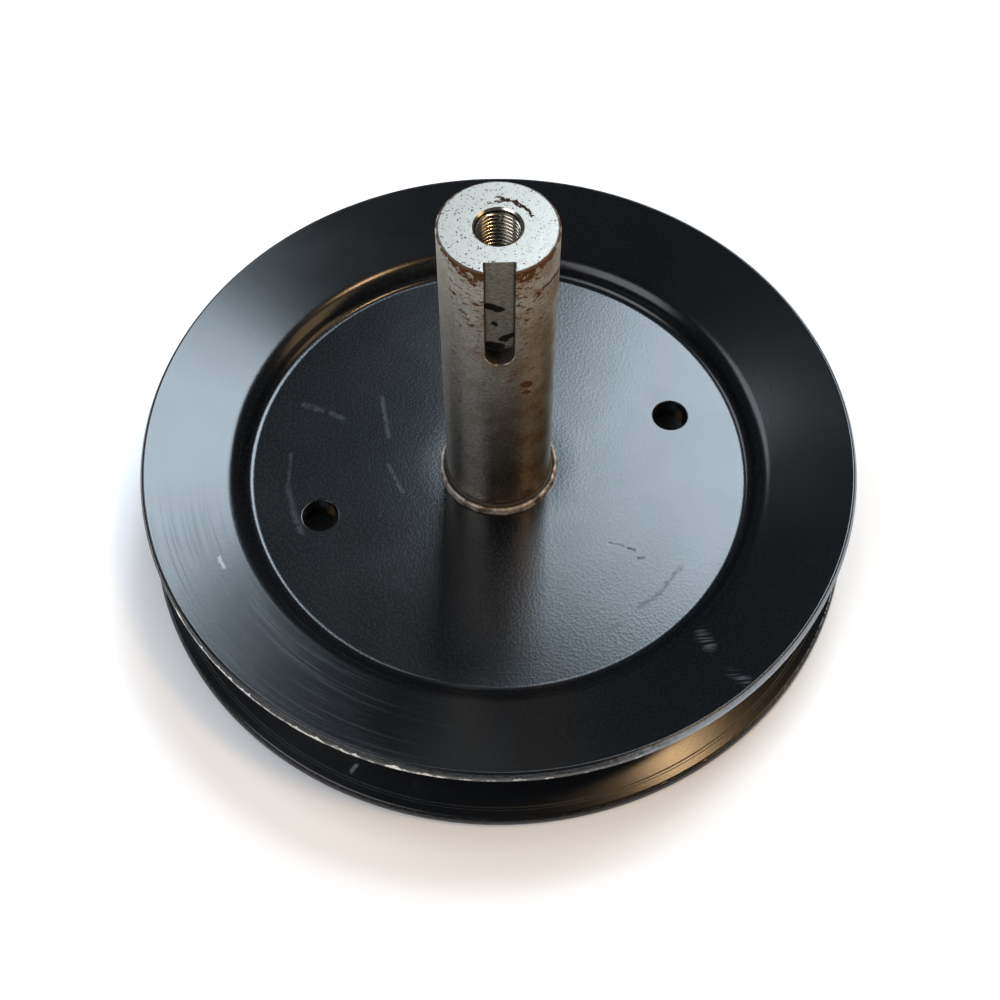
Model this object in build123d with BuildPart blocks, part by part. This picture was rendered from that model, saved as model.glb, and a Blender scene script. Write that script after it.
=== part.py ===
from build123d import *
import math
import os

# V-belt pulley of two pressed sheet halves, welded to a shaft with a keyway and a tapped end.
# Millimetres. +Z runs along the shaft, towards its tapped end, and the keyway faces -Y.
# The origin is on the shaft's axis, in the plane that the lower rim stands on.

# Sheet of the two halves
sheet_t = 3.2

# Form of one half: a flat web, a step up from it, and a flange that slopes out to the rim
web_r = 61.8
step_rise = 4.1
step_angle = 62.0
flange_angle = 17.0

# Rims, trimmed parallel to the axis, the lower one a little wider
upper_rim_r = 86.4
lower_rim_r = 87.35

# Bevels on each half: groove root, outside edge of the rim, groove edge of the rim
root_bevel = 1.3
rim_bevel = 0.7
upper_groove_bevel = 0.2
lower_groove_bevel = 1.3

# Two holes through both webs, on a line turned from +X about the axis
hole_d = 8.45
hole_circle_d = 91.5
hole_turn = 17.5

# Shaft, with a spigot turned on its foot that goes through both webs
shaft_d = 25.4
spigot_d = 24.6
shaft_above_web = 87.0
shaft_below_weld = 1.2
shaft_chamfer = 0.5
bore_clearance = 0.1

# Keyway, open at the top end, with a half-round lower end
key_w = 6.35
key_depth = 3.4
key_length = 29.4

# Tapped hole in the top end, at the thread's major diameter
thread_d = 9.525
thread_depth = 26.0
mouth_d = 10.6
mouth_angle = 90.0
drill_angle = 118.0

# Weld beads round the spigot, the upper one just under the shaft's shoulder
weld_leg = 2.4
weld_rise = 1.8
shoulder_gap = 0.3

# Heights that follow from the sizes above
shaft_r = shaft_d / 2
spigot_r = spigot_d / 2
step_slope = math.radians(step_angle)
flange_slope = math.radians(flange_angle)
shoulder_r = web_r + step_rise / math.tan(step_slope)
lower_rim_rise = step_rise + (lower_rim_r - shoulder_r) * math.tan(flange_slope)
meeting_z = sheet_t + lower_rim_rise - rim_bevel * math.sin(flange_slope)
upper_face_z = meeting_z + sheet_t
lower_face_z = meeting_z - sheet_t
shaft_top_z = upper_face_z + shaft_above_web
shaft_shoulder_z = upper_face_z + weld_rise + shoulder_gap
shaft_bottom_z = lower_face_z - weld_rise - shaft_below_weld

# Section planes: x is the radius, and y the height over the face where the two halves meet
upper_plane = Plane(origin=(0, 0, meeting_z), x_dir=(1, 0, 0), z_dir=(0, -1, 0))
lower_plane = Plane(origin=(0, 0, meeting_z), x_dir=(1, 0, 0), z_dir=(0, 1, 0))


def along(start, angle, length):
    """Point at a length from start, in the direction of an angle in radians."""
    return (start[0] + length * math.cos(angle), start[1] + length * math.sin(angle))


def half_section(plane, rim_r, groove_bevel):
    """Section of one pressed half: sheet of one thickness, bent up at the foot and out at the shoulder.

    The shoulder's outside is an arc of the sheet's thickness about the inside corner of that bend.
    The arc stays within the step's wall, and the rim's two bevels stay within its trimmed edge.
    """
    quarter = math.pi / 2
    wall = step_rise / math.sin(step_slope)
    foot_share = math.tan(step_slope / 2)
    shoulder_share = math.tan((step_slope - flange_slope) / 2)
    shoulder_round = min(sheet_t, 0.95 * wall / shoulder_share)
    bore = spigot_r + bore_clearance
    foot = (web_r, sheet_t)
    shoulder = (shoulder_r, sheet_t + step_rise)
    rim = along(shoulder, flange_slope, (rim_r - shoulder_r) / math.cos(flange_slope))
    groove_foot = (web_r + sheet_t * foot_share, 0)
    wall_back = along(shoulder, step_slope - quarter, sheet_t)
    groove_shoulder = along(wall_back, step_slope, -sheet_t * shoulder_share)
    groove_rim = along(rim, -quarter, sheet_t / math.cos(flange_slope))
    with BuildSketch(plane) as section:
        with BuildLine():
            Polyline(
                (bore, 0),
                groove_foot,
                groove_shoulder,
                groove_rim,
                rim,
                shoulder,
                foot,
                (bore, sheet_t),
                close=True,
            )
        make_face()
        fillet(section.vertices().sort_by_distance(shoulder)[0], radius=shoulder_round)
        chamfer(section.vertices().sort_by_distance(groove_foot)[0], length=root_bevel)
        chamfer(section.vertices().sort_by_distance(rim)[0], length=rim_bevel)
        groove_edge = min(groove_bevel, 0.95 * (sheet_t - rim_bevel))
        chamfer(section.vertices().sort_by_distance(groove_rim)[0], length=groove_edge)
    return section.sketch


os.makedirs("parts", exist_ok=True)

# Upper half: the flange rises from the web's outside face, and the groove is under it
with BuildPart() as upper_pulley_half:
    add(half_section(upper_plane, upper_rim_r, upper_groove_bevel))
    revolve(axis=Axis.Z)
    with PolarLocations(hole_circle_d / 2, 2, start_angle=hole_turn):
        Hole(hole_d / 2)
upper_pulley_half.part.label = "upper_pulley_half"
export_step(upper_pulley_half.part, "parts/upper_pulley_half.step")

# Lower half: the same pressing turned over, trimmed wider, with more taken off its groove edge
with BuildPart() as lower_pulley_half:
    add(half_section(lower_plane, lower_rim_r, lower_groove_bevel))
    revolve(axis=Axis.Z)
    with PolarLocations(hole_circle_d / 2, 2, start_angle=hole_turn):
        Hole(hole_d / 2)
lower_pulley_half.part.label = "lower_pulley_half"
export_step(lower_pulley_half.part, "parts/lower_pulley_half.step")

# Shaft: turned bar, stepped down to the spigot at its foot, with chamfered ends
with BuildPart() as shaft:
    with BuildSketch(Plane.XZ):
        with BuildLine():
            Polyline(
                (0, shaft_bottom_z),
                (spigot_r - shaft_chamfer, shaft_bottom_z),
                (spigot_r, shaft_bottom_z + shaft_chamfer),
                (spigot_r, shaft_shoulder_z),
                (shaft_r, shaft_shoulder_z),
                (shaft_r, shaft_top_z - shaft_chamfer),
                (shaft_r - shaft_chamfer, shaft_top_z),
                (0, shaft_top_z),
                close=True,
            )
        make_face()
    revolve(axis=Axis.Z)
    # Keyway: the cutter's half-round end is its lower end, and it runs out through the top
    key_floor = Plane(origin=(0, key_depth - shaft_r, 0), x_dir=(1, 0, 0), z_dir=(0, -1, 0))
    key_end_z = shaft_top_z - key_length + key_w / 2
    with BuildSketch(key_floor):
        with Locations((0, key_end_z)):
            Circle(key_w / 2)
            Rectangle(key_w, key_length, align=(Align.CENTER, Align.MIN))
    extrude(amount=shaft_r, mode=Mode.SUBTRACT)
    # Tapped hole: countersunk mouth, full thread diameter, drill point
    with BuildSketch(Plane.XZ):
        mouth_depth = (mouth_d - thread_d) / 2 / math.tan(math.radians(mouth_angle / 2))
        point_depth = thread_d / 2 / math.tan(math.radians(drill_angle / 2))
        with BuildLine():
            Polyline(
                (0, shaft_top_z),
                (mouth_d / 2, shaft_top_z),
                (thread_d / 2, shaft_top_z - mouth_depth),
                (thread_d / 2, shaft_top_z - thread_depth),
                (0, shaft_top_z - thread_depth - point_depth),
                close=True,
            )
        make_face()
    revolve(axis=Axis.Z, mode=Mode.SUBTRACT)
shaft.part.label = "shaft"
export_step(shaft.part, "parts/shaft.step")


def bead_section(plane):
    """Section of a fillet weld between the spigot and a web's outside face."""
    with BuildSketch(plane) as section:
        with BuildLine():
            Polyline(
                (spigot_r, sheet_t),
                (spigot_r + weld_leg, sheet_t),
                (spigot_r, sheet_t + weld_rise),
                close=True,
            )
        make_face()
    return section.sketch


# Weld beads: one on each web, closing the gap between its bore and the spigot
with BuildPart() as upper_weld_bead:
    add(bead_section(upper_plane))
    revolve(axis=Axis.Z)
upper_weld_bead.part.label = "upper_weld_bead"
export_step(upper_weld_bead.part, "parts/upper_weld_bead.step")

with BuildPart() as lower_weld_bead:
    add(bead_section(lower_plane))
    revolve(axis=Axis.Z)
lower_weld_bead.part.label = "lower_weld_bead"
export_step(lower_weld_bead.part, "parts/lower_weld_bead.step")
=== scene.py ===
import math

import bmesh
import bpy
import numpy as np
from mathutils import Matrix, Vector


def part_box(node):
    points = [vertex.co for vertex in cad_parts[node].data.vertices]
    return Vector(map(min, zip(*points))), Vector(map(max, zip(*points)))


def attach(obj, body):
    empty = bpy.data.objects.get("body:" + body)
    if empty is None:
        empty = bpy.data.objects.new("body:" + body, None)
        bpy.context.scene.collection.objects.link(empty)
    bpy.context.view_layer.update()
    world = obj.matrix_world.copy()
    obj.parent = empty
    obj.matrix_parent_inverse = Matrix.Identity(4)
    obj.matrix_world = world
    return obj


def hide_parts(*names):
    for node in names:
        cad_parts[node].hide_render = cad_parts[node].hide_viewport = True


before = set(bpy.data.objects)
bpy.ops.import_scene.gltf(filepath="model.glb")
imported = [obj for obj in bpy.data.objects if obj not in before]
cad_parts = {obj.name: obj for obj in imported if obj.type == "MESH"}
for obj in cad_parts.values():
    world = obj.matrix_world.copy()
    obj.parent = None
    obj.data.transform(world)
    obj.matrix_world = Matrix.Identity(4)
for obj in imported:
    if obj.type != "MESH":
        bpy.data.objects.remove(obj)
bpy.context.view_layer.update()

# Pulley halves
# Two pressings of 3.2 mm steel sheet, each with a flat web, a step and a sloping flange. They lie back to
# back, so that their flanges form the belt groove. Both are sprayed with satin black enamel.
mm = 0.001
sheet_t = 3.2
web_r = 61.8
step_rise = 4.1
upper_rim_r = 86.4
lower_rim_r = 87.35
step_slope = math.radians(62.0)
flange_slope = math.radians(17.0)
bore_r = 12.4
hole_r = 4.225
hole_circle_r = 45.75
hole_turn = math.radians(17.5)
bore_round = 0.1
foot_round, groove_foot_round = 2.4, 5.6
shoulder_round, groove_shoulder_round = 6.0, 2.8
rim_face_round, rim_top_round = 0.9, 0.5
ring_inner, ring_outer = 38.0, 53.5
meeting_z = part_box("upper_pulley_half")[0].z / mm
shoulder_r = web_r + step_rise / math.tan(step_slope)
edge_h = sheet_t / math.cos(flange_slope)
edge_top, edge_in, edge_under = 1.6, 0.8, 0.1
dip, dip_outer, dip_inner = 0.07, 21.0, 14.6
turns = 360


def flange_h(r):
    """Height of a flange's outside face at a radius, from the face where the halves meet."""
    return sheet_t + step_rise + (r - shoulder_r) * math.tan(flange_slope)


def rounded_line(corners, radii, steps, lead):
    """Closed line of straight sides and rounded corners, as one array of points.

    Each corner is cut back on both sides by its radius over the tangent of half its inside angle, and the
    points between run round the circle that touches both sides. One more point stands a lead before and
    after each arc on the straight side, which keeps flat stretches flat under smooth shading.
    """
    before = np.roll(corners, 1, axis=0) - corners
    after = np.roll(corners, -1, axis=0) - corners
    before = before / np.linalg.norm(before, axis=1, keepdims=True)
    after = after / np.linalg.norm(after, axis=1, keepdims=True)
    half = 0.5 * np.arccos(np.clip((before * after).sum(axis=1), -1, 1))
    middle = before + after
    middle = middle / np.linalg.norm(middle, axis=1, keepdims=True)
    cut = (radii / np.tan(half))[:, None]
    centre = corners + middle * (radii / np.sin(half))[:, None]
    first, last = corners + before * cut, corners + after * cut
    start = np.arctan2(*(first - centre).T[::-1])
    sweep = np.arctan2(*(last - centre).T[::-1]) - start
    sweep = (sweep + math.pi) % (2 * math.pi) - math.pi
    angle = start[:, None] + sweep[:, None] * np.linspace(0, 1, steps)
    arc = centre[:, None] + radii[:, None, None] * np.stack([np.cos(angle), np.sin(angle)], axis=-1)
    ends = (first + before * lead)[:, None], (last + after * lead)[:, None]
    return np.concatenate([ends[0], arc, ends[1]], axis=1)


def turned(line, angles):
    """Grid of points from a line of radius and height carried round the axis: a row for each angle."""
    r, heights = line[:, 0], np.tile(line[:, 1], (len(angles), 1))
    return np.stack([np.outer(np.cos(angles), r), np.outer(np.sin(angles), r), heights], axis=-1)


def closed_mesh(name, grids):
    """Mesh of quads over several point grids, in millimetres, whose shared borders are merged.

    A grid is given with whether it closes on itself along its rows and along its columns.
    """
    points, quads, count = [], [], 0
    for grid, round_rows, round_columns in grids:
        rows, columns = grid.shape[:2]
        index = count + np.arange(rows * columns).reshape(rows, columns)
        if round_rows:
            index = np.concatenate([index, index[:1]], axis=0)
        if round_columns:
            index = np.concatenate([index, index[:, :1]], axis=1)
        corners = index[:-1, :-1], index[:-1, 1:], index[1:, 1:], index[1:, :-1]
        quads.append(np.stack(corners, axis=-1).reshape(-1, 4))
        points.append(grid.reshape(-1, 3))
        count += rows * columns
    mesh = bpy.data.meshes.new(name)
    mesh.from_pydata(np.concatenate(points) * mm, [], np.concatenate(quads))
    work = bmesh.new()
    work.from_mesh(mesh)
    bmesh.ops.remove_doubles(work, verts=work.verts, dist=2e-6)
    bmesh.ops.dissolve_degenerate(work, edges=work.edges, dist=1e-7)
    bmesh.ops.recalc_face_normals(work, faces=work.faces)
    work.to_mesh(mesh)
    work.free()
    mesh.shade_smooth()
    made = bpy.data.objects.new(name, mesh)
    bpy.context.scene.collection.objects.link(made)
    return made


def pressed_half(name, side, rim_r, groove_round):
    """One half: its section carried round the axis, and a patch in each web face round the two holes.

    The section follows the sheet's outline with every bend rounded, and the trimmed edge bulges a little. It
    dips by the square of the way in where the weld has drawn the web down. Between two circles on the web
    the section is left out, and there a patch runs from a sector's border in to the hole, down the hole's
    wall and out again on the other face. Heights are measured from the face where the halves meet.
    """
    wall_back = np.array([shoulder_r, sheet_t + step_rise]) + sheet_t * np.array(
        [math.sin(step_slope), -math.cos(step_slope)])
    inner_bend = sheet_t * math.tan((step_slope - flange_slope) / 2)
    corners = np.array([
        (bore_r, 0.0),
        (web_r + sheet_t * math.tan(step_slope / 2), 0.0),
        wall_back - inner_bend * np.array([math.cos(step_slope), math.sin(step_slope)]),
        (rim_r - edge_under, flange_h(rim_r) - edge_h),
        (rim_r, flange_h(rim_r) - edge_top),
        (rim_r - edge_in, flange_h(rim_r - edge_in)),
        (shoulder_r, sheet_t + step_rise),
        (web_r, sheet_t),
        (bore_r, sheet_t - dip),
    ])
    radii = np.array([
        bore_round, groove_foot_round, groove_shoulder_round, groove_round, rim_face_round, rim_top_round,
        shoulder_round, foot_round, bore_round])
    line = rounded_line(corners, radii, steps=8, lead=0.12)
    outer = np.concatenate([[(ring_outer, 0.0)], line[1:8].reshape(-1, 2), [(ring_outer, sheet_t)]])
    dip_share = np.linspace(0, 1, 10)
    dipped = np.stack([
        dip_outer + (dip_inner - dip_outer) * dip_share, sheet_t - dip * dip_share ** 2], axis=-1)
    inner = np.concatenate([[(ring_inner, sheet_t)], dipped, line[8], line[0], [(ring_inner, 0.0)]])
    around = hole_turn + np.arange(turns) * 2 * math.pi / turns
    grids = [(turned(outer, around), True, False), (turned(inner, around), True, False)]

    sector = 10
    rings = np.linspace(ring_inner, ring_outer, 9)
    half_turn = hole_turn + np.arange(sector, turns // 2 - sector + 1) * 2 * math.pi / turns
    for height in (0.0, sheet_t):
        spoke = np.stack([rings, np.full(len(rings), height)], axis=-1)
        for start in (0.0, math.pi):
            grids.append((turned(spoke, half_turn + start), False, False))

    across = np.arange(-sector, sector + 1) * 2 * math.pi / turns
    edge_round, lead = 0.4, 0.1
    bend = np.linspace(0, math.pi / 2, 6)
    hole_radii = np.concatenate([
        [hole_r + edge_round + lead], hole_r + edge_round * (1 - np.sin(bend)),
        [hole_r, hole_r, hole_r + lead]])
    hole_heights = np.concatenate([
        [sheet_t], sheet_t - edge_round * (1 - np.cos(bend)), [lead, 0.0, 0.0]])
    share = np.array([1.0, 0.72, 0.46, 0.22])[:, None, None]
    on_side, on_arc = len(rings) - 1, len(across) - 1
    for start in (0.0, math.pi):
        centre = hole_circle_r * np.array([math.cos(hole_turn + start), math.sin(hole_turn + start)])
        angle = hole_turn + start + np.concatenate([
            np.full(on_side, across[0]), across[:-1], np.full(on_side, across[-1]), across[:0:-1]])
        radius = np.concatenate([
            rings[:-1], np.full(on_arc, ring_outer), rings[:0:-1], np.full(on_arc, ring_inner)])
        border = np.stack([radius * np.cos(angle), radius * np.sin(angle)], axis=-1)
        out = border - centre
        out = out / np.linalg.norm(out, axis=1, keepdims=True)
        circles = centre + hole_radii[:, None, None] * out
        upper = circles[0] + (border - circles[0]) * share
        lower = circles[-1] + (border - circles[-1]) * share[::-1]
        plan = np.concatenate([upper, circles, lower])
        height = np.concatenate([np.full(len(share), sheet_t), hole_heights, np.zeros(len(share))])
        patch = np.concatenate([plan, np.broadcast_to(height[:, None, None], plan.shape[:2] + (1,))], axis=-1)
        grids.append((patch, False, True))

    placed = [(grid * (1, 1, side) + (0, 0, meeting_z), rows, columns) for grid, rows, columns in grids]
    return closed_mesh(name, placed)


def linear(colour):
    """Linear RGBA from an sRGB hex value."""
    part = np.array([int(colour[i:i + 2], 16) for i in (1, 3, 5)]) / 255
    part = np.where(part <= 0.04045, part / 12.92, ((part + 0.055) / 1.055) ** 2.4)
    return (*part.tolist(), 1.0)


def add(tree, kind, inputs, **settings):
    """Adds one node, with its settings, and fills its inputs with values or links from other nodes."""
    made = tree.nodes.new(kind)
    for key, value in settings.items():
        setattr(made, key, value)
    for key, value in inputs.items():
        if isinstance(value, bpy.types.Node):
            value = value.outputs[0]
        if isinstance(value, bpy.types.NodeSocket):
            tree.links.new(value, made.inputs[key])
        else:
            made.inputs[key].default_value = value
    return made


def streaks(tree, place, marks):
    """Greatest closeness to any of several straight marks, from 0 outside to 1 along their middles.

    Each mark is two end points and a width in millimetres. The offset from its first end is laid along the
    mark, held between its ends, and the distance left over is set against the width.
    """
    closest = None
    for start, end, width in marks:
        run = np.array(end) - np.array(start)
        offset = add(tree, "ShaderNodeVectorMath", {0: place, 1: np.array(start) * mm}, operation="SUBTRACT")
        share = add(tree, "ShaderNodeVectorMath", {
            0: offset, 1: run / (run @ run) / mm}, operation="DOT_PRODUCT")
        held = add(tree, "ShaderNodeClamp", {"Value": share.outputs["Value"]})
        foot = add(tree, "ShaderNodeVectorMath", {0: run * mm, "Scale": held.outputs[0]}, operation="SCALE")
        gap = add(tree, "ShaderNodeVectorMath", {0: offset, 1: foot}, operation="DISTANCE").outputs["Value"]
        near = add(tree, "ShaderNodeMapRange", {
            "Value": gap, "From Min": width * mm, "From Max": 0.0,
        }, interpolation_type="SMOOTHSTEP").outputs[0]
        if closest is None:
            closest = near
        else:
            closest = add(tree, "ShaderNodeMath", {0: closest, 1: near}, operation="MAXIMUM").outputs[0]
    return closest


def uneven_place(tree, place, noise, width):
    """The place, pushed up to half a width in millimetres either way along each axis by a noise's colours."""
    shift = add(tree, "ShaderNodeVectorMath", {
        0: noise.outputs["Color"], 1: (0.5, 0.5, 0.5)}, operation="SUBTRACT")
    shift = add(tree, "ShaderNodeVectorMath", {0: shift, "Scale": width * mm}, operation="SCALE")
    return add(tree, "ShaderNodeVectorMath", {0: place, 1: shift}, operation="ADD")


def round_place(tree):
    """Object coordinates of a round piece: the place itself, its axes, its radius and its direction."""
    place = add(tree, "ShaderNodeTexCoord", {}).outputs["Object"]
    axes = add(tree, "ShaderNodeSeparateXYZ", {"Vector": place})
    flat = add(tree, "ShaderNodeCombineXYZ", {"X": axes.outputs["X"], "Y": axes.outputs["Y"]})
    reach = add(tree, "ShaderNodeVectorMath", {0: flat}, operation="LENGTH").outputs["Value"]
    heading = add(tree, "ShaderNodeVectorMath", {0: flat}, operation="NORMALIZE")
    return place, axes, reach, heading


# Satin enamel sprayed on degreased sheet: a near-black coat with a fine grain and soft broad reflections. It
# is dulled where things have rubbed it, scraped grey in places, and chipped to bare steel along the rim.
enamel = bpy.data.materials.new("satin_black_enamel")
enamel.use_nodes = True
tree = enamel.node_tree
tree.nodes.clear()
place, axes, reach, heading = round_place(tree)

# Spray grain of small dimples, fainter on the flange, drawn 0.75 mm across because the real 0.3 mm is too
# fine to show, and haze some 25 mm across from handling
grain = add(tree, "ShaderNodeTexVoronoi", {
    "Vector": place, "Scale": 1 / (0.75 * mm)}, voronoi_dimensions="2D")
smoother = add(tree, "ShaderNodeMapRange", {
    "Value": reach, "From Min": 60 * mm, "From Max": 66 * mm, "To Min": 1.0, "To Max": 0.4})
fleck = add(tree, "ShaderNodeMapRange", {"Value": grain, "From Min": 0.2, "From Max": 0.6})
fleck = add(tree, "ShaderNodeMath", {0: fleck, 1: smoother}, operation="MULTIPLY").outputs[0]
grain = add(tree, "ShaderNodeMath", {0: grain, 1: smoother}, operation="MULTIPLY")
haze = add(tree, "ShaderNodeTexNoise", {
    "Vector": place, "Scale": 1 / (25 * mm), "Detail": 5.0, "Distortion": 0.8})
rough = add(tree, "ShaderNodeMapRange", {
    "Value": haze, "From Min": 0.3, "From Max": 0.7, "To Min": 0.185, "To Max": 0.215}).outputs[0]

# Hairlines that follow the upper flange round, 0.7 mm apart, some 30 degrees long, most of them at lower left
turn_place = add(tree, "ShaderNodeVectorMath", {0: heading, 1: (2.2, 2.2, 0)}, operation="MULTIPLY")
rise_place = add(tree, "ShaderNodeCombineXYZ", {"Z": reach})
rise_place = add(tree, "ShaderNodeVectorMath", {0: rise_place, "Scale": 1 / (0.7 * mm)}, operation="SCALE")
ring_place = add(tree, "ShaderNodeVectorMath", {0: turn_place, 1: rise_place}, operation="ADD")
hairs = add(tree, "ShaderNodeTexNoise", {"Vector": ring_place, "Scale": 1.0, "Detail": 2.0})
hairs = add(tree, "ShaderNodeMapRange", {"Value": hairs, "From Min": 0.5, "From Max": 0.75, "To Max": 0.8})
rubbed_side = add(tree, "ShaderNodeVectorMath", {0: heading, 1: (-0.69, -0.72, 0)}, operation="DOT_PRODUCT")
rubbed_side = add(tree, "ShaderNodeMapRange", {
    "Value": rubbed_side.outputs["Value"], "From Min": 0.75, "From Max": 0.97, "To Min": 0.06})
on_flange = add(tree, "ShaderNodeMapRange", {"Value": reach, "From Min": 66 * mm, "From Max": 68 * mm})
hairs = add(tree, "ShaderNodeMath", {0: hairs, 1: rubbed_side}, operation="MULTIPLY")
hairs = add(tree, "ShaderNodeMath", {0: hairs, 1: on_flange}, operation="MULTIPLY")
above = add(tree, "ShaderNodeMath", {0: axes.outputs["Z"], 1: meeting_z * mm}, operation="GREATER_THAN")
hairs = add(tree, "ShaderNodeMath", {0: hairs, 1: above}, operation="MULTIPLY").outputs[0]

# Dull rubs: arcs of a circle 104 mm across where a washer turned, and short strokes on the web
wobble = add(tree, "ShaderNodeTexNoise", {
    "Vector": place, "Scale": 1 / (1.6 * mm), "Detail": 5.0, "Roughness": 0.65})
uneven = uneven_place(tree, place, wobble, 1.8)
torn = add(tree, "ShaderNodeMapRange", {
    "Value": wobble.outputs[0], "From Min": 0.35, "From Max": 0.6, "To Min": 0.25}).outputs[0]
face_z = meeting_z + sheet_t
rubs = streaks(tree, uneven, [
    ((-29.2, 21.2, face_z), (-27.3, 8.8, face_z), 0.9),
    ((-27.4, 0.7, face_z), (-23.6, -7.8, face_z), 0.7),
    ((-49.1, 19.5, face_z), (-44.4, 17.2, face_z), 1.3),
    ((-41.9, 16.4, face_z), (-39.0, 14.9, face_z), 1.2),
    ((-51.6, 4.0, face_z), (-51.9, -4.9, face_z), 0.8),
    ((-51.9, -4.9, face_z), (-50.3, -12.1, face_z), 1.2),
    ((-50.3, -12.1, face_z), (-48.0, -18.5, face_z), 1.3),
    ((42.7, -30.2, face_z), (37.1, -37.1, face_z), 0.9),
    ((37.1, -37.1, face_z), (31.7, -41.0, face_z), 1.1),
    ((27.3, -44.8, face_z), (23.6, -47.3, face_z), 0.9),
])
rubs = add(tree, "ShaderNodeMath", {0: rubs, 1: torn}, operation="MULTIPLY").outputs[0]
dirt = streaks(tree, uneven, [
    ((30.8, -24.7, face_z), (32.0, -25.2, face_z), 0.7),
    ((33.0, -27.6, face_z), (34.1, -27.4, face_z), 0.7),
    ((26.1, -22.8, face_z), (29.6, -24.2, face_z), 0.3),
])
dirt = add(tree, "ShaderNodeMath", {0: dirt, 1: torn}, operation="MULTIPLY").outputs[0]

# Pale scrapes: two single nicks, and two scuffed patches of parallel slanting scratches on the near flange
nick_z = meeting_z + flange_h(72.0)
scuff_z, scuff_end_z = meeting_z + flange_h(69.6), meeting_z + flange_h(81.8)
groove_nick_z = meeting_z - flange_h(82.0) + edge_h
nicks = streaks(tree, uneven, [
    ((-66.1, -28.7, nick_z), (-64.8, -31.4, nick_z), 0.8),
    ((-35.6, -74.7, groove_nick_z), (-34.2, -73.5, groove_nick_z), 0.8),
])
scuffed = streaks(tree, uneven, [
    ((45.0, -50.4, scuff_z), (46.6, -54.6, scuff_z + 0.8), 2.2),
    ((50.4, -62.0, scuff_end_z - 0.6), (52.8, -65.0, scuff_end_z + 0.4), 2.2),
])
slant = add(tree, "ShaderNodeMapping", {
    "Vector": place, "Rotation": (0, 0, 0.5), "Scale": (1 / (9.0 * mm), 1 / (0.6 * mm), 1 / (9.0 * mm))})
lines = add(tree, "ShaderNodeTexNoise", {"Vector": slant, "Scale": 1.0, "Detail": 3.0, "Roughness": 0.6})
lines = add(tree, "ShaderNodeMapRange", {"Value": lines, "From Min": 0.48, "From Max": 0.68, "To Max": 0.36})
scuffed = add(tree, "ShaderNodeMath", {0: scuffed, 1: lines}, operation="MULTIPLY")
scrapes = add(tree, "ShaderNodeMath", {0: nicks, 1: scuffed}, operation="MAXIMUM").outputs[0]

# Sheared rims, rough across the cut, with chips of bare steel low on the upper one, dense at lower left
edge_r = add(tree, "ShaderNodeMapRange", {
    "Value": axes.outputs["Z"], "From Min": (meeting_z - 1) * mm, "From Max": (meeting_z + 1) * mm,
    "To Min": lower_rim_r * mm, "To Max": upper_rim_r * mm})
sheared = add(tree, "ShaderNodeMath", {0: reach, 1: edge_r}, operation="SUBTRACT")
sheared = add(tree, "ShaderNodeMapRange", {
    "Value": sheared, "From Min": -0.75 * mm, "From Max": -0.55 * mm}).outputs[0]
section = add(tree, "ShaderNodeCombineXYZ", {"X": reach, "Y": axes.outputs["Z"]})
chipped_edge = (upper_rim_r * mm, (meeting_z + flange_h(upper_rim_r) - 0.8 * edge_h) * mm, 0)
edge_gap = add(tree, "ShaderNodeVectorMath", {
    0: section, 1: chipped_edge}, operation="DISTANCE").outputs["Value"]
chip_size = add(tree, "ShaderNodeTexNoise", {
    "Vector": place, "Scale": 1 / (3.4 * mm), "Detail": 6.0, "Roughness": 0.7})
chip_size = add(tree, "ShaderNodeMath", {0: rubbed_side, 1: 0.13, 2: chip_size}, operation="MULTIPLY_ADD")
chip_size = add(tree, "ShaderNodeMapRange", {
    "Value": chip_size, "From Min": 0.55, "From Max": 0.71, "To Max": 1.5 * mm})
chips = add(tree, "ShaderNodeMath", {0: chip_size, 1: edge_gap}, operation="SUBTRACT")
chips = add(tree, "ShaderNodeMapRange", {"Value": chips, "From Max": 0.08 * mm}).outputs[0]

# On its right, facing the lamps, the cut is grey steel in a close grain that breaks up towards the front:
# partly rubbed through, partly a painted reflection of the lamps
rub_and_painted_sheen = add(tree, "ShaderNodeVectorMath", {0: heading, 1: (0.9, -0.44, 0)}, operation="DOT_PRODUCT")
rub_and_painted_sheen = add(tree, "ShaderNodeMapRange", {
    "Value": rub_and_painted_sheen.outputs["Value"], "From Min": 0.55, "From Max": 0.98})
broken = add(tree, "ShaderNodeTexNoise", {
    "Vector": place, "Scale": 1 / (1.4 * mm), "Detail": 5.0, "Roughness": 0.75}).outputs[0]
rub_and_painted_sheen = add(tree, "ShaderNodeMath", {0: rub_and_painted_sheen, 1: broken}, operation="ADD")
rub_and_painted_sheen = add(tree, "ShaderNodeMapRange", {"Value": rub_and_painted_sheen, "From Min": 0.75, "From Max": 1.05})
rub_and_painted_sheen = add(tree, "ShaderNodeMath", {0: rub_and_painted_sheen, 1: sheared}, operation="MULTIPLY")
rub_and_painted_sheen = add(tree, "ShaderNodeMath", {0: rub_and_painted_sheen, 1: above}, operation="MULTIPLY").outputs[0]

# Two hairline rings that a belt wore into the lower flange
worn_rings = None
for ring_r, ring_w in ((84.2, 0.2), (84.8, 0.12)):
    ring_line = (ring_r * mm, (meeting_z - flange_h(ring_r) + edge_h) * mm, 0)
    gap = add(tree, "ShaderNodeVectorMath", {0: section, 1: ring_line}, operation="DISTANCE").outputs["Value"]
    near = add(tree, "ShaderNodeMapRange", {
        "Value": gap, "From Min": ring_w * mm, "From Max": 0.0}).outputs[0]
    if worn_rings is None:
        worn_rings = near
    else:
        worn_rings = add(tree, "ShaderNodeMath", {0: worn_rings, 1: near}, operation="MAXIMUM").outputs[0]

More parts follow.
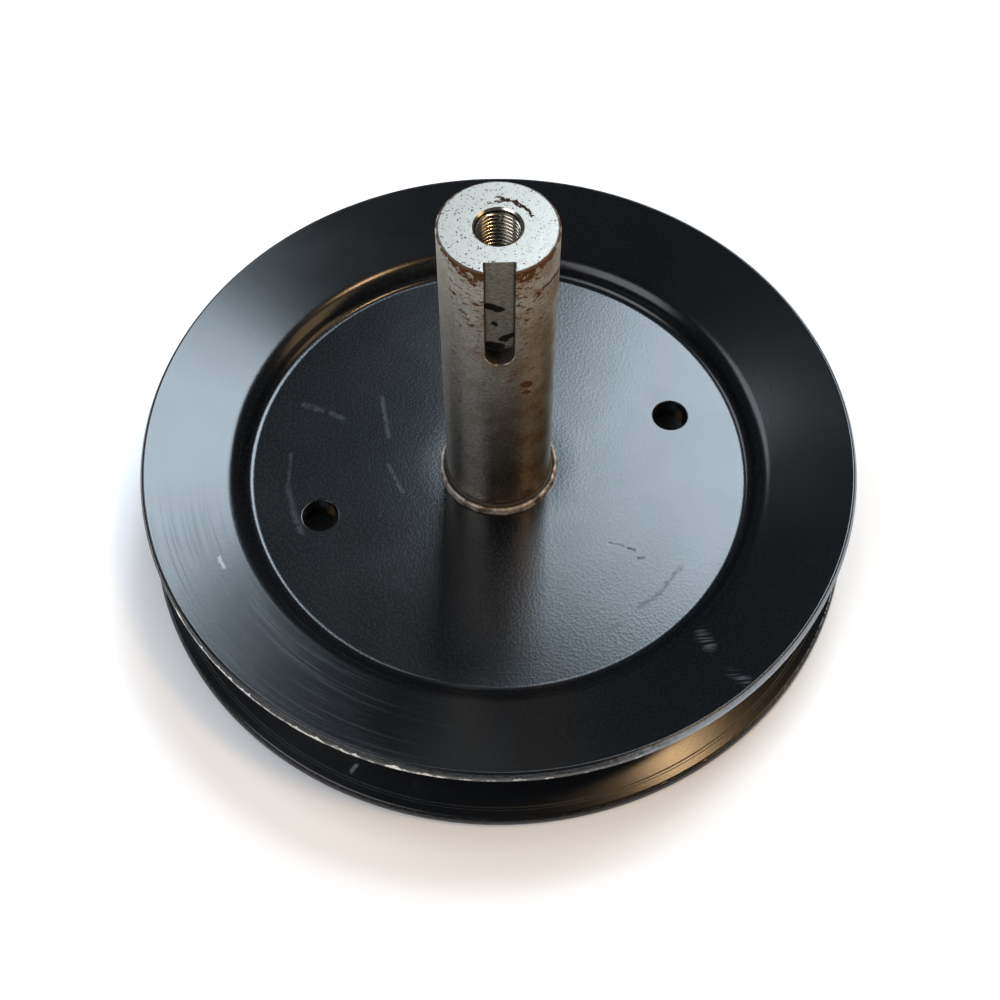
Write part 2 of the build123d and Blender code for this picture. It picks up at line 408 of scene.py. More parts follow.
dull = add(tree, "ShaderNodeMath", {0: rubs, 1: hairs}, operation="MAXIMUM").outputs[0]
rough = add(tree, "ShaderNodeMix", {0: dull, 2: rough, 3: 0.36})
rough = add(tree, "ShaderNodeMix", {0: sheared, 2: rough.outputs[0], 3: 0.27})
rough = add(tree, "ShaderNodeMix", {0: rub_and_painted_sheen, 2: rough.outputs[0], 3: 0.5})
spoiled = add(tree, "ShaderNodeMath", {0: dirt, 1: worn_rings}, operation="MAXIMUM").outputs[0]
rough = add(tree, "ShaderNodeMix", {0: spoiled, 2: rough.outputs[0], 3: 0.55})
tone = add(tree, "ShaderNodeMix", {0: fleck, 6: linear("#030508"), 7: linear("#16181b")}, data_type="RGBA")
tone = add(tree, "ShaderNodeMix", {0: rubs, 6: tone.outputs[2], 7: linear("#181b20")}, data_type="RGBA")
tone = add(tree, "ShaderNodeMix", {0: scrapes, 6: tone.outputs[2], 7: linear("#8b9095")}, data_type="RGBA")
# Grey steel on the cut's right: rubbed wear and painted reflection of the lamps
tone = add(tree, "ShaderNodeMix", {0: rub_and_painted_sheen, 6: tone.outputs[2], 7: linear("#8f979f")}, data_type="RGBA")
tone = add(tree, "ShaderNodeMix", {0: chips, 6: tone.outputs[2], 7: linear("#ebe9e4")}, data_type="RGBA")
bare_and_painted_sheen = add(tree, "ShaderNodeMath", {0: chips, 1: rub_and_painted_sheen}, operation="MAXIMUM").outputs[0]
shear = add(tree, "ShaderNodeTexNoise", {"Vector": place, "Scale": 1 / (1.1 * mm), "Detail": 4.0})
shear = add(tree, "ShaderNodeMath", {0: shear, 1: sheared}, operation="MULTIPLY")
bump = add(tree, "ShaderNodeBump", {"Height": shear, "Strength": 0.7, "Distance": 0.35 * mm})
bump = add(tree, "ShaderNodeBump", {
    "Height": chips, "Strength": 0.6, "Distance": 0.08 * mm, "Normal": bump}, invert=True)
bump = add(tree, "ShaderNodeBump", {"Height": grain, "Strength": 0.6, "Distance": 0.013 * mm, "Normal": bump})
coat = add(tree, "ShaderNodeBsdfPrincipled", {
    "Base Color": tone.outputs[2], "Metallic": bare_and_painted_sheen, "Roughness": rough.outputs[0], "Normal": bump})
add(tree, "ShaderNodeOutputMaterial", {"Surface": coat})

for name, node, side, rim_r, groove_round in (
    ("upper_half_pressing", "upper_pulley_half", 1, upper_rim_r, 0.25),
    ("lower_half_pressing", "lower_pulley_half", -1, lower_rim_r, 1.4),
):
    half = pressed_half(name, side, rim_r, groove_round)
    half.data.materials.append(enamel)
    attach(half, "root")
    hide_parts(node)

# Weld beads
# One fillet weld runs round the shaft on each web, laid after the halves were pressed together. The bead
# has a raised outer lip, a shallow trough against the shaft, and the slow waver of a hand-held torch.
spigot_r = 12.3
weld_leg = 2.4
weld_sunk, weld_rise = 0.3, 1.5
lip_outer_r, lip_outer_h = 14.35, 1.25
lip_r = 13.8
trough_r, trough_h = 13.15, 0.95
steady_r, loose_r = 13.0, 14.5
waver_out, waver_up = 0.011, 0.13


def weld_bead(name, side):
    """Ring whose section is a lip and a trough, with its height and reach wavering round the axis.

    The waver is a sum of three sine waves whose counts round the ring have no common factor.
    """
    corners = np.array([
        (spigot_r, -weld_sunk), (spigot_r + weld_leg, -weld_sunk), (lip_outer_r, lip_outer_h),
        (lip_r, weld_rise), (trough_r, trough_h), (spigot_r, weld_rise)])
    rounds = np.array([0.05, 0.2, 0.3, 0.3, 0.45, 0.1])
    line = rounded_line(corners, rounds, steps=6, lead=0.06).reshape(-1, 2)
    angles = np.arange(turns) * 2 * math.pi / turns
    waver = 0.5 * np.sin(5 * angles + 0.6) + 0.4 * np.sin(17 * angles + 2.1) + 0.15 * np.sin(53 * angles)
    ring = turned(line, angles)
    lip = np.clip((line[:, 0] - steady_r) / (loose_r - steady_r), 0, 1)
    out = 1 + waver_out * np.outer(waver, lip)
    up = 1 + waver_up * np.outer(waver, lip)
    ring = ring * np.stack([out, out, up], axis=-1)
    ring = ring * (1, 1, side) + (0, 0, meeting_z + side * sheet_t)
    return closed_mesh(name, [(ring, True, True)])


# Weld metal as laid, with a thin scale: pale and dull on the lip, touched with rust, and dark brown in the
# trough against the shaft, which is partly scale and partly painted shade of the gap there.
weld = bpy.data.materials.new("scaled_weld_metal")
weld.use_nodes = True
tree = weld.node_tree
tree.nodes.clear()
place, axes, reach, heading = round_place(tree)
lip = add(tree, "ShaderNodeMapRange", {
    "Value": reach, "From Min": 13.3 * mm, "From Max": 13.9 * mm}).outputs[0]
blotch = add(tree, "ShaderNodeTexNoise", {
    "Vector": place, "Scale": 1 / (2.6 * mm), "Detail": 5.0, "Roughness": 0.6})
pale = add(tree, "ShaderNodeMapRange", {"Value": blotch, "From Min": 0.36, "From Max": 0.58}).outputs[0]
lip_tone = add(tree, "ShaderNodeMix", {0: pale, 6: linear("#5d5245"), 7: linear("#c4b8ac")}, data_type="RGBA")
# Dark trough against the shaft: scale, and painted shade of the gap
scale_and_shade_tone = add(tree, "ShaderNodeMix", {
    0: lip, 6: linear("#39342a"), 7: lip_tone.outputs[2]}, data_type="RGBA")
rust_share = add(tree, "ShaderNodeMapRange", {"Value": blotch, "From Min": 0.6, "From Max": 0.68})
tone = add(tree, "ShaderNodeMix", {
    0: rust_share.outputs[0], 6: scale_and_shade_tone.outputs[2], 7: linear("#6b421f")}, data_type="RGBA")
bump = add(tree, "ShaderNodeBump", {"Height": blotch, "Strength": 0.7, "Distance": 0.3 * mm})
scale = add(tree, "ShaderNodeBsdfPrincipled", {
    "Base Color": tone.outputs[2], "Metallic": 0.35, "Roughness": 0.55, "Normal": bump})
add(tree, "ShaderNodeOutputMaterial", {"Surface": scale})

for name, node, side in (
    ("upper_fillet_weld", "upper_weld_bead", 1),
    ("lower_fillet_weld", "lower_weld_bead", -1),
):
    bead = weld_bead(name, side)
    bead.data.materials.append(weld)
    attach(bead, "root")
    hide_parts(node)

# Shaft
# A one inch bar of bright steel, turned and chamfered, with a keyway milled from the top end and a fine
# thread tapped into it. Its foot is a spigot that goes through both webs.
shaft_r = 12.7
chamfer = 0.5
key_half = 3.175
key_floor = 9.3
key_length = 29.4
mouth_r = 5.3
thread_r = 4.7625
pitch = 25.4 / 24
thread_depth, thread_run, thread_height = 26.0, 20.0, 0.55
point_depth = 2.86
shoulder_lift = 2.1
broken_edge = 0.14
bar_points = 182
wall_steps = np.array([0, 0.03, 0.3, 0.65, 0.95, 1])
floor_steps = np.array([-0.96, -0.6, -0.2, 0.2, 0.6, 0.96])
shaft_low, shaft_top = (corner.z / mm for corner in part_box("shaft"))
shoulder_z = meeting_z + sheet_t + shoulder_lift
key_low = shaft_top - key_length
key_round_z = key_low + key_half


def keyed_outline(radius, half_width):
    """Plan of the keyed bar, one row for each pair of radius and keyway half-width.

    From the keyway's edge the points run round the circle to its other edge, then down one wall, across
    the floor and up the other wall. The edges are broken by a small flat, which closes with the keyway.
    """
    broken = broken_edge * np.clip(half_width / 0.6, 0, 1)
    edge = np.arcsin((half_width + broken) / radius)[:, None]
    span = np.concatenate([[0, 0.002], np.linspace(0.01, 0.99, bar_points - 4), [0.998, 1]])
    angle = edge + (2 * math.pi - 2 * edge) * span
    circle = np.stack([radius[:, None] * np.sin(angle), -radius[:, None] * np.cos(angle)], axis=-1)
    lip = np.sqrt(radius ** 2 - half_width ** 2) - broken
    wall_y = -lip[:, None] + (lip - key_floor)[:, None] * wall_steps
    wall_x = np.repeat(half_width[:, None], len(wall_steps), axis=1)
    floor_x = half_width[:, None] * floor_steps
    left = np.stack([-wall_x, wall_y], axis=-1)
    right = np.stack([wall_x, wall_y], axis=-1)[:, ::-1]
    floor = np.stack([floor_x, np.full_like(floor_x, -key_floor)], axis=-1)
    return np.concatenate([circle, left, floor, right], axis=1)


def raised(plan, heights):
    """Grid of points from rows of plan points and one height for each row."""
    return np.concatenate([plan, np.broadcast_to(heights[:, None, None], plan.shape[:2] + (1,))], axis=-1)


def keyed_shaft(name):
    """The shaft in five grids: plain bar, keyed bar, two bands of the end face, and threaded hole.

    The keyway's half-width grows along a circle from its lower end. The end face runs from the keyed
    outline along the keyway's walls to the floor's corners, then in to the hole's mouth. The thread's
    radius is a sharp wave of height less turn, so its crest climbs one pitch in each turn.
    """
    corners = np.array([
        (0.0, shaft_low), (spigot_r - chamfer, shaft_low), (spigot_r, shaft_low + chamfer),
        (spigot_r, shoulder_z), (shaft_r, shoulder_z), (shaft_r, shaft_top - chamfer),
        (shaft_r - chamfer, shaft_top), (0.0, shaft_top)])
    rounds = np.array([0.01, 0.15, 0.15, 0.1, 0.1, 0.25, 0.12, 0.01])
    line = rounded_line(corners, rounds, steps=5, lead=0.08)
    stem = np.append(np.linspace(shoulder_z + 1, key_low, 24), key_low)
    stem[-2] -= 0.2
    stem = np.stack([np.full(len(stem), shaft_r), stem], axis=-1)
    lower = np.concatenate([[(0.0, shaft_low)], line[1:5].reshape(-1, 2), stem])
    upper = line[5:7].reshape(-1, 2)

    rise = key_half * (1 - np.cos(np.linspace(0, math.pi / 2, 17)))
    half_width = np.sqrt(np.maximum(key_half ** 2 - (key_half - rise) ** 2, 0))
    straight = np.linspace(key_round_z, upper[0, 1], 14)[1:-1]
    heights = np.concatenate([key_low + rise, straight, upper[:, 1]])
    radius = np.concatenate([np.full(len(rise) + len(straight), shaft_r), upper[:, 0]])
    half_width = np.concatenate([half_width, np.full(len(heights) - len(half_width), key_half)])
    plan = keyed_outline(radius, half_width)
    keyed = raised(plan, heights)

    first = plan[0, :bar_points]
    plain_angles = np.arctan2(first[:, 1], first[:, 0])
    plain = turned(lower, plain_angles)

    parts = np.cumsum([bar_points, len(wall_steps), len(floor_steps)])
    circle, left, floor, right = np.split(plan[-1], parts)
    corner_r = math.hypot(key_half, key_floor)
    corner_turn = math.asin(key_half / corner_r)
    outer = np.unwrap(np.arctan2(circle[:, 1], circle[:, 0]))
    inner = np.linspace(corner_turn - math.pi / 2, 1.5 * math.pi - corner_turn, bar_points)
    share = np.array([0, 0.02, 0.05, 0.32, 0.66, 0.95, 1])[:, None]
    angles = outer + (inner - outer) * share
    radii = shaft_r - chamfer + (corner_r - shaft_r + chamfer) * share
    band = np.stack([radii * np.cos(angles), radii * np.sin(angles)], axis=-1)
    band[1:, 0], band[1:, -1], band[0] = right[::-1], left, circle
    end_band = raised(band, np.full(len(share), shaft_top))

    rim = np.concatenate([band[-1], floor])
    angles = np.arctan2(rim[:, 1], rim[:, 0])
    mouth = mouth_r * np.stack([np.cos(angles), np.sin(angles)], axis=-1)
    share = np.array([0, 0.01, 0.3, 0.6, 0.985, 1])[:, None, None]
    end_face = raised(rim + (mouth - rim) * share, np.full(len(share), shaft_top))

    mouth_depth = mouth_r - thread_r
    deep = np.arange(0, thread_run, pitch / 12)
    depth = np.concatenate([
        [0, 0.02, 0.5 * mouth_depth], mouth_depth + deep,
        [thread_depth, thread_depth, thread_depth + point_depth]])
    wall = np.concatenate([
        mouth_r - depth[:3], np.full(len(deep), thread_r), [thread_r, thread_r, 0]])
    phase = (-depth[:, None] / pitch - angles / (2 * math.pi)) % 1
    wave = np.clip(2.3 * (1 - np.abs(2 * phase - 1)) - 0.9, 0, 1)
    grown = np.clip((depth - 0.3 * mouth_depth) / (0.9 * pitch), 0, 1)
    grown = grown * np.clip((thread_run - depth) / pitch, 0, 1)
    radii = wall[:, None] - thread_height * wave * grown[:, None]
    hole = np.stack([radii * np.cos(angles), radii * np.sin(angles),
                     np.broadcast_to((shaft_top - depth)[:, None], radii.shape)], axis=-1)
    return closed_mesh(name, [
        (plain, True, False), (keyed, False, True), (end_band, False, False), (end_face, False, True),
        (hole, False, True)])


# Cold-drawn steel bar, turned bright and then stored damp: grey, with turning lines that draw its highlights
# out along the bar, flecked with brown rust, most of it round the keyway and under the end's chamfer.
steel = bpy.data.materials.new("turned_bright_steel")
steel.use_nodes = True
tree = steel.node_tree
tree.nodes.clear()
place, axes, reach, heading = round_place(tree)
front = add(tree, "ShaderNodeVectorMath", {
    0: heading, 1: (0, -1, 0)}, operation="DOT_PRODUCT").outputs["Value"]
below = add(tree, "ShaderNodeMath", {
    0: shaft_top * mm, 1: axes.outputs["Z"]}, operation="SUBTRACT").outputs[0]
aside = add(tree, "ShaderNodeMath", {0: axes.outputs["X"]}, operation="ABSOLUTE").outputs[0]
milled = add(tree, "ShaderNodeMapRange", {"Value": reach, "From Min": 12.5 * mm, "From Max": 12.15 * mm})
above_spigot = add(tree, "ShaderNodeMapRange", {"Value": below, "From Min": 32 * mm, "From Max": 31 * mm})
milled = add(tree, "ShaderNodeMath", {0: milled, 1: above_spigot}, operation="MULTIPLY").outputs[0]

# Rust flecks 2.4 mm long and 1 mm high, thick near the keyway's upper part and rare at the foot
fleck_place = add(tree, "ShaderNodeVectorMath", {
    0: place, 1: (1 / (2.4 * mm), 1 / (2.4 * mm), 1 / (1.0 * mm))}, operation="MULTIPLY")
flecks = add(tree, "ShaderNodeTexNoise", {
    "Vector": fleck_place, "Scale": 1.0, "Detail": 4.0, "Roughness": 0.6})
high = add(tree, "ShaderNodeMapRange", {"Value": below, "From Min": 55 * mm, "From Max": 10 * mm})
facing = add(tree, "ShaderNodeMapRange", {"Value": front, "From Min": 0.2, "From Max": 0.95})
crowd = add(tree, "ShaderNodeMath", {0: high, 1: facing}, operation="MULTIPLY")
limit = add(tree, "ShaderNodeMapRange", {"Value": crowd, "To Min": 0.68, "To Max": 0.52})
flecks = add(tree, "ShaderNodeMath", {0: flecks, 1: limit}, operation="SUBTRACT")
flecks = add(tree, "ShaderNodeMapRange", {"Value": flecks, "From Max": 0.05}).outputs[0]

# Rust band from the chamfer down, up to 4 mm high beside the keyway, and single rust marks on the side
ragged = add(tree, "ShaderNodeTexNoise", {
    "Vector": place, "Scale": 1 / (2.0 * mm), "Detail": 6.0, "Roughness": 0.65})
tallest = add(tree, "ShaderNodeMapRange", {
    "Value": front, "From Min": 0.3, "From Max": 0.95, "To Min": 1.2 * mm, "To Max": 5.0 * mm})
band = add(tree, "ShaderNodeMapRange", {"Value": ragged, "From Min": 0.36, "From Max": 0.66})
band = add(tree, "ShaderNodeMath", {0: band, 1: tallest}, operation="MULTIPLY")
band = add(tree, "ShaderNodeMath", {0: band, 1: below}, operation="SUBTRACT")
band = add(tree, "ShaderNodeMapRange", {"Value": band, "From Max": 0.35 * mm}).outputs[0]
uneven = uneven_place(tree, place, ragged, 2.2)
marks = streaks(tree, uneven, [
    ((12.4, -2.8, shaft_top - 10.0), (11.3, -5.8, shaft_top - 8.6), 0.9),
    ((11.3, -5.8, shaft_top - 8.6), (9.0, -8.9, shaft_top - 8.5), 0.8),
    ((5.1, -11.6, shaft_top - 37.4), (6.4, -11.0, shaft_top - 38.8), 1.7),
    ((5.5, -11.4, shaft_top - 40.8), (6.2, -11.1, shaft_top - 41.4), 1.1),
])
marks = add(tree, "ShaderNodeMapRange", {"Value": marks, "From Min": 0.25, "From Max": 0.5}).outputs[0]
rust = add(tree, "ShaderNodeMath", {0: flecks, 1: band}, operation="MAXIMUM")
rust = add(tree, "ShaderNodeMath", {0: rust, 1: marks}, operation="MAXIMUM")
turned_side = add(tree, "ShaderNodeMath", {0: 1.0, 1: milled}, operation="SUBTRACT")
rust = add(tree, "ShaderNodeMath", {0: rust, 1: turned_side}, operation="MULTIPLY").outputs[0]

# Black-brown patches on the keyway's floor and at its lower end, and painted shade that darkens its corners
patches_and_corner_shade = streaks(tree, uneven, [
    ((-2.5, -key_floor, shaft_top - 13.5), (0.3, -key_floor, shaft_top - 14.8), 1.5),
    ((0.8, -key_floor, shaft_top - 24.6), (2.9, -key_floor, shaft_top - 23.1), 1.6),
    ((-2.0, -key_floor, shaft_top - 26.4), (-0.3, -key_floor, shaft_top - 27.0), 2.2),
    ((-1.3, -key_floor, shaft_top - 19.1), (-0.7, -key_floor, shaft_top - 19.8), 0.9),
])
patches_and_corner_shade = add(tree, "ShaderNodeMapRange", {"Value": patches_and_corner_shade, "From Min": 0.25, "From Max": 0.5}).outputs[0]
# Painted shade along the keyway's inner corners
corner = add(tree, "ShaderNodeMapRange", {
    "Value": aside, "From Min": 2.65 * mm, "From Max": 3.1 * mm, "To Max": 0.85})
patches_and_corner_shade = add(tree, "ShaderNodeMath", {0: patches_and_corner_shade, 1: corner}, operation="MAXIMUM")
deepest = add(tree, "ShaderNodeMath", {0: ragged, 1: 8 * mm, 2: below}, operation="MULTIPLY_ADD")
deepest = add(tree, "ShaderNodeMapRange", {
    "Value": deepest, "From Min": 30 * mm, "From Max": 31.5 * mm, "To Max": 0.85})
patches_and_corner_shade = add(tree, "ShaderNodeMath", {0: patches_and_corner_shade, 1: deepest}, operation="MAXIMUM")
patches_and_corner_shade = add(tree, "ShaderNodeMath", {0: patches_and_corner_shade, 1: milled}, operation="MULTIPLY").outputs[0]

# Turning lines 0.3 mm apart, a close mottle of stain, and a patchy brown film, browner to the right and
# lighter to the left as a painted warm reflection of the lamps on the right
mottle = add(tree, "ShaderNodeTexNoise", {
    "Vector": fleck_place, "Scale": 3.0, "Detail": 3.0, "Roughness": 0.7})
mottle = add(tree, "ShaderNodeMapRange", {"Value": mottle, "From Min": 0.35, "From Max": 0.65}).outputs[0]
line_place = add(tree, "ShaderNodeVectorMath", {
    0: place, 1: (1 / (6 * mm), 1 / (6 * mm), 1 / (0.3 * mm))}, operation="MULTIPLY")
turning = add(tree, "ShaderNodeTexNoise", {"Vector": line_place, "Scale": 1.0, "Detail": 2.0})
film_and_warm_reflection = add(tree, "ShaderNodeTexNoise", {"Vector": place, "Scale": 1 / (5 * mm), "Detail": 5.0})
# Painted warm reflection: browner towards +X, where the warm lamps stand
painted_warm_lean = add(tree, "ShaderNodeMapRange", {
    "Value": axes.outputs["X"], "From Min": -9 * mm, "From Max": 11 * mm, "To Min": -0.25, "To Max": 0.2})
film_and_warm_reflection = add(tree, "ShaderNodeMath", {0: film_and_warm_reflection, 1: painted_warm_lean}, operation="ADD")
film_and_warm_reflection = add(tree, "ShaderNodeMapRange", {"Value": film_and_warm_reflection, "From Min": 0.3, "From Max": 0.8})
tone = add(tree, "ShaderNodeMix", {
    0: film_and_warm_reflection.outputs[0], 6: linear("#d2cec6"), 7: linear("#a08a6c")}, data_type="RGBA")
tone = add(tree, "ShaderNodeMix", {0: milled, 6: tone.outputs[2], 7: linear("#918c83")}, data_type="RGBA")
tone = add(tree, "ShaderNodeMix", {
    0: mottle, 6: tone.outputs[2], 7: linear("#b3aa9c")}, data_type="RGBA", blend_type="MULTIPLY")
rust_tone = add(tree, "ShaderNodeMix", {
    0: ragged, 6: linear("#22110a"), 7: linear("#6e431f")}, data_type="RGBA")
tone = add(tree, "ShaderNodeMix", {0: rust, 6: tone.outputs[2], 7: rust_tone.outputs[2]}, data_type="RGBA")
# Black-brown patches, with painted shade in the keyway's corners
tone = add(tree, "ShaderNodeMix", {0: patches_and_corner_shade, 6: tone.outputs[2], 7: linear("#160c07")}, data_type="RGBA")
crust_and_corner_shade = add(tree, "ShaderNodeMath", {0: rust, 1: patches_and_corner_shade}, operation="MAXIMUM").outputs[0]
metal = add(tree, "ShaderNodeMath", {0: 1.0, 1: crust_and_corner_shade}, operation="SUBTRACT")
rough = add(tree, "ShaderNodeMapRange", {
    "Value": turning, "From Min": 0.3, "From Max": 0.7, "To Min": 0.29, "To Max": 0.33})
rough = add(tree, "ShaderNodeMix", {0: milled, 2: rough.outputs[0], 3: 0.42})
rough = add(tree, "ShaderNodeMix", {0: crust_and_corner_shade, 2: rough.outputs[0], 3: 0.8})
bump = add(tree, "ShaderNodeBump", {"Height": turning, "Strength": 0.35, "Distance": 0.02 * mm})
bump = add(tree, "ShaderNodeBump", {"Height": crust_and_corner_shade, "Strength": 0.5, "Distance": 0.08 * mm, "Normal": bump})
bar = add(tree, "ShaderNodeBsdfPrincipled", {
    "Base Color": tone.outputs[2], "Metallic": metal, "Roughness": rough.outputs[0],
    "Specular IOR Level": 0.2, "Anisotropic": 0.8, "Anisotropic Rotation": 0.25, "Normal": bump})
add(tree, "ShaderNodeOutputMaterial", {"Surface": bar})

# Freshly faced and tapped end of the same bar: bright and fine-grained, pitted with small dark specks, with
# an arc of rust behind the hole. The thread is smooth and bright on its crests and brown in its roots.
bright_end = bpy.data.materials.new("faced_and_tapped_steel")
bright_end.use_nodes = True
tree = bright_end.node_tree
tree.nodes.clear()
place, axes, reach, heading = round_place(tree)
tapped = add(tree, "ShaderNodeMapRange", {
    "Value": reach, "From Min": mouth_r * mm, "From Max": 5.25 * mm}).outputs[0]
root = add(tree, "ShaderNodeMapRange", {
    "Value": reach, "From Min": 4.4 * mm, "From Max": 4.72 * mm, "To Max": 0.8})
threaded = add(tree, "ShaderNodeMapRange", {"Value": reach, "From Min": 4.84 * mm, "From Max": 4.78 * mm})
root = add(tree, "ShaderNodeMath", {0: root, 1: threaded}, operation="MULTIPLY").outputs[0]
pits = add(tree, "ShaderNodeTexNoise", {"Vector": place, "Scale": 1 / (0.42 * mm), "Detail": 1.0})
pit_limit = add(tree, "ShaderNodeMapRange", {
    "Value": axes.outputs["X"], "From Min": -9 * mm, "From Max": 8 * mm, "To Min": 0.63, "To Max": 0.67})
pits = add(tree, "ShaderNodeMath", {0: pits, 1: pit_limit}, operation="SUBTRACT")
pits = add(tree, "ShaderNodeMapRange", {"Value": pits, "From Max": 0.05}).outputs[0]
ragged = add(tree, "ShaderNodeTexNoise", {
    "Vector": place, "Scale": 1 / (1.0 * mm), "Detail": 5.0, "Roughness": 0.65})
uneven = uneven_place(tree, place, ragged, 2.2)
arc = streaks(tree, uneven, [
    ((-2.1, 6.4, shaft_top), (1.5, 6.9, shaft_top), 0.4),
    ((-0.1, 7.9, shaft_top), (3.9, 6.5, shaft_top), 0.55),
    ((3.9, 6.3, shaft_top), (5.9, 4.5, shaft_top), 0.65),
    ((5.9, 4.5, shaft_top), (6.9, 2.7, shaft_top), 0.5),
])
arc = add(tree, "ShaderNodeMapRange", {"Value": arc, "From Min": 0.15, "From Max": 0.4}).outputs[0]
specks = add(tree, "ShaderNodeMath", {0: pits, 1: arc}, operation="MAXIMUM")
face = add(tree, "ShaderNodeMath", {0: 1.0, 1: tapped}, operation="SUBTRACT")
specks = add(tree, "ShaderNodeMath", {0: specks, 1: face}, operation="MULTIPLY").outputs[0]
tone = add(tree, "ShaderNodeMix", {0: tapped, 6: linear("#a09b93"), 7: linear("#cbc4b6")}, data_type="RGBA")
tone = add(tree, "ShaderNodeMix", {0: root, 6: tone.outputs[2], 7: linear("#33271a")}, data_type="RGBA")
tone = add(tree, "ShaderNodeMix", {0: specks, 6: tone.outputs[2], 7: linear("#2e1a12")}, data_type="RGBA")
metal = add(tree, "ShaderNodeMath", {0: 1.0, 1: specks}, operation="SUBTRACT")
rough = add(tree, "ShaderNodeMapRange", {
    "Value": ragged, "From Min": 0.3, "From Max": 0.7, "To Min": 0.36, "To Max": 0.46})
rough = add(tree, "ShaderNodeMix", {0: tapped, 2: rough.outputs[0], 3: 0.2})
rough = add(tree, "ShaderNodeMix", {0: specks, 2: rough.outputs[0], 3: 0.8})
grain = add(tree, "ShaderNodeTexNoise", {"Vector": place, "Scale": 1 / (0.35 * mm), "Detail": 2.0})
grain = add(tree, "ShaderNodeMath", {0: grain, 1: face}, operation="MULTIPLY")
bump = add(tree, "ShaderNodeBump", {"Height": grain, "Strength": 0.6, "Distance": 0.03 * mm})
end_coat = add(tree, "ShaderNodeBsdfPrincipled", {
    "Base Color": tone.outputs[2], "Metallic": metal, "Roughness": rough.outputs[0],
    "Specular IOR Level": 0.2, "Normal": bump})
add(tree, "ShaderNodeOutputMaterial", {"Surface": end_coat})

shaft = keyed_shaft("keyed_shaft")
shaft.data.materials.append(steel)
shaft.data.materials.append(bright_end)
centres = np.empty(len(shaft.data.polygons) * 3)
shaft.data.polygons.foreach_get("center", centres)
centres = centres.reshape(-1, 3) / mm
on_end = centres[:, 2] > shaft_top - 0.01
hole_low = shaft_top - thread_depth - point_depth
in_hole = (np.hypot(centres[:, 0], centres[:, 1]) < mouth_r - 0.001) & (centres[:, 2] > hole_low)
shaft.data.polygons.foreach_set("material_index", (on_end | in_hole).astype(np.int32))
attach(shaft, "root")
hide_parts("shaft")

# Studio
# A pale floor in a dim room. A large cool softbox stands behind on the right, a small warm lamp and a warm
# panel on the right, and two cool fills on the left, one in front and one behind.
floor_mesh = bpy.data.meshes.new("studio_floor")
floor_mesh.from_pydata([(-3, -3, 0), (3, -3, 0), (3, 3, 0), (-3, 3, 0)], [], [(0, 1, 2, 3)])
floor = bpy.data.objects.new("studio_floor", floor_mesh)
bpy.context.scene.collection.objects.link(floor)

# Matt white paper. To the eye and in reflections it glows a little outside the rims, so that it stays white
# there, and more in the distance, where the lamps fall away. The glow lights nothing.
paper = bpy.data.materials.new("white_paper_floor")
paper.use_nodes = True
tree = paper.node_tree
tree.nodes.clear()
sheet = add(tree, "ShaderNodeBsdfDiffuse", {"Color": linear("#f4f4f4")})
ray = add(tree, "ShaderNodeLightPath", {})
seen = add(tree, "ShaderNodeMath", {
    0: ray.outputs["Is Camera Ray"], 1: ray.outputs["Is Glossy Ray"]}, operation="MAXIMUM")
seen = add(tree, "ShaderNodeMath", {0: seen, 1: ray.outputs["Is Transmission Ray"]}, operation="MAXIMUM")
spread = add(tree, "ShaderNodeTexCoord", {}).outputs["Object"]
spread = add(tree, "ShaderNodeVectorMath", {0: spread}, operation="LENGTH").outputs["Value"]
far = add(tree, "ShaderNodeMapRange", {"Value": spread, "From Min": 0.5, "From Max": 2.5, "To Max": 0.7})
spread = add(tree, "ShaderNodeMapRange", {
    "Value": spread, "From Min": 0.08, "From Max": 0.095, "To Max": 0.3})
spread = add(tree, "ShaderNodeMath", {0: spread, 1: far}, operation="ADD")
lift = add(tree, "ShaderNodeMath", {0: seen, 1: spread}, operation="MULTIPLY")
glow = add(tree, "ShaderNodeEmission", {"Strength": lift})
both = add(tree, "ShaderNodeAddShader", {0: sheet, 1: glow})
add(tree, "ShaderNodeOutputMaterial", {"Surface": both})
floor.data.materials.append(paper)


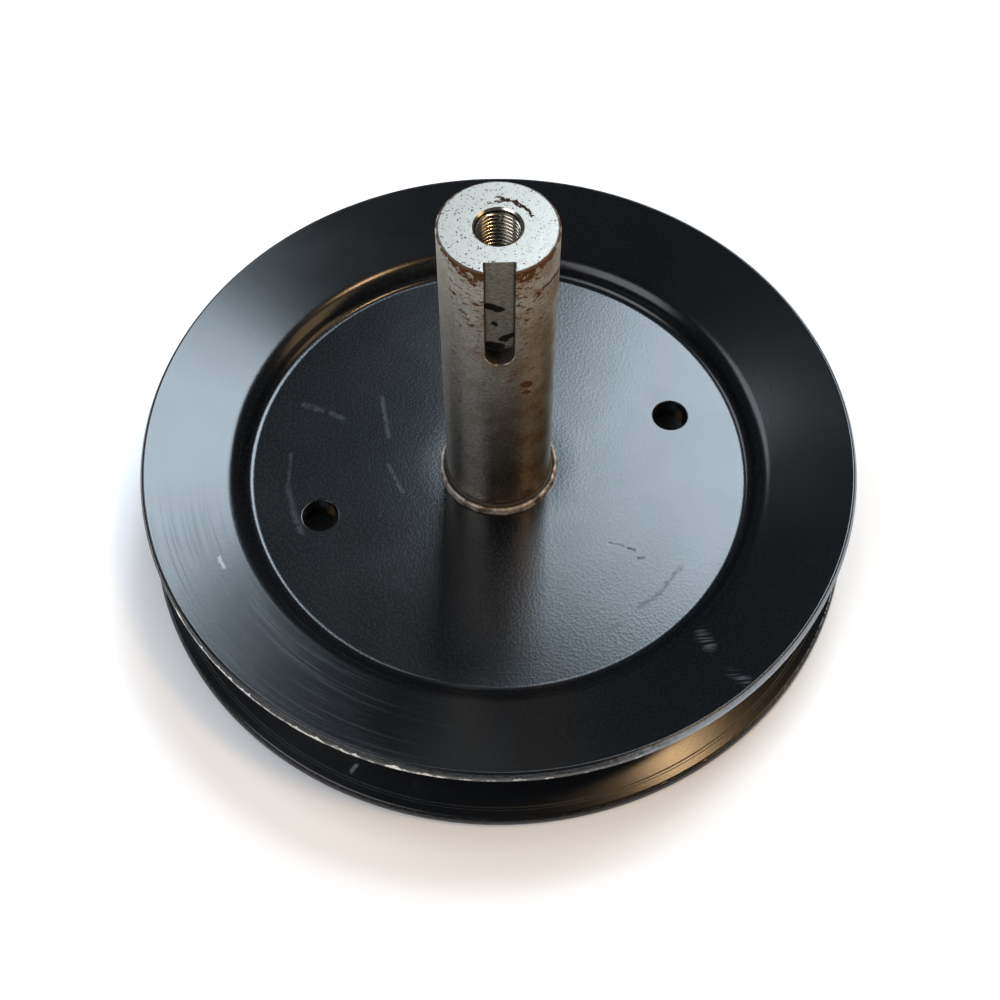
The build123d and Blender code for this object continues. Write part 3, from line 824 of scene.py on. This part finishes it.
def softbox(name, azimuth, elevation, distance, width, height, radiance, colour):
    """Area lamp at an azimuth from +Y towards +X and an elevation, facing the pulley's middle."""
    az, el = math.radians(azimuth), math.radians(elevation)
    lamp = bpy.data.lights.new(name, "AREA")
    lamp.shape = "RECTANGLE"
    lamp.size, lamp.size_y = width, height
    lamp.energy = radiance * math.pi * width * height
    lamp.color = linear(colour)[:3]
    made = bpy.data.objects.new(name, lamp)
    away = distance * math.cos(el)
    made.location = (away * math.sin(az), away * math.cos(az), distance * math.sin(el))
    made.rotation_euler = (math.pi / 2 - el, 0, math.pi - az)
    bpy.context.scene.collection.objects.link(made)


softbox("window_softbox", 27.4, 53.9, 3.0, 1.33, 1.02, 15.0, "#dff1ff")
softbox("warm_lamp", 106.4, 66.5, 2.0, 0.28, 0.25, 38.0, "#ffd29c")
softbox("warm_panel", 103.4, 30, 2.0, 0.7, 1.4, 2.0, "#ffd9a0")
softbox("front_fill", -128.6, 43, 2.0, 1.15, 1.1, 3.3, "#f2f6ff")
softbox("left_fill", -48, 50, 2.0, 0.75, 0.6, 3.9, "#eef5ff")
world = bpy.data.worlds.new("dim_room")
bpy.context.scene.world = world
world.use_nodes = True
tree = world.node_tree
tree.nodes.clear()
seen = add(tree, "ShaderNodeLightPath", {}).outputs["Is Camera Ray"]
room = add(tree, "ShaderNodeMix", {
    0: seen, 6: (0.8, 0.9, 1.0, 1.0), 7: (1.0, 1.0, 1.0, 1.0)}, data_type="RGBA")
level = add(tree, "ShaderNodeMapRange", {"Value": seen, "To Min": 0.08, "To Max": 1.0})
room = add(tree, "ShaderNodeBackground", {"Color": room.outputs[2], "Strength": level})
add(tree, "ShaderNodeOutputWorld", {"Surface": room})

lens = bpy.data.cameras.new("photo_camera")
lens.lens, lens.sensor_width = 55.76, 36.0
camera = bpy.data.objects.new("photo_camera", lens)
camera.location = (-0.0046, -0.20995, 0.33907)
camera.rotation_euler = (math.radians(31.821), 0, math.radians(-1.35))
bpy.context.scene.collection.objects.link(camera)
bpy.context.scene.camera = camera
bpy.context.scene.view_settings.view_transform = "Standard"
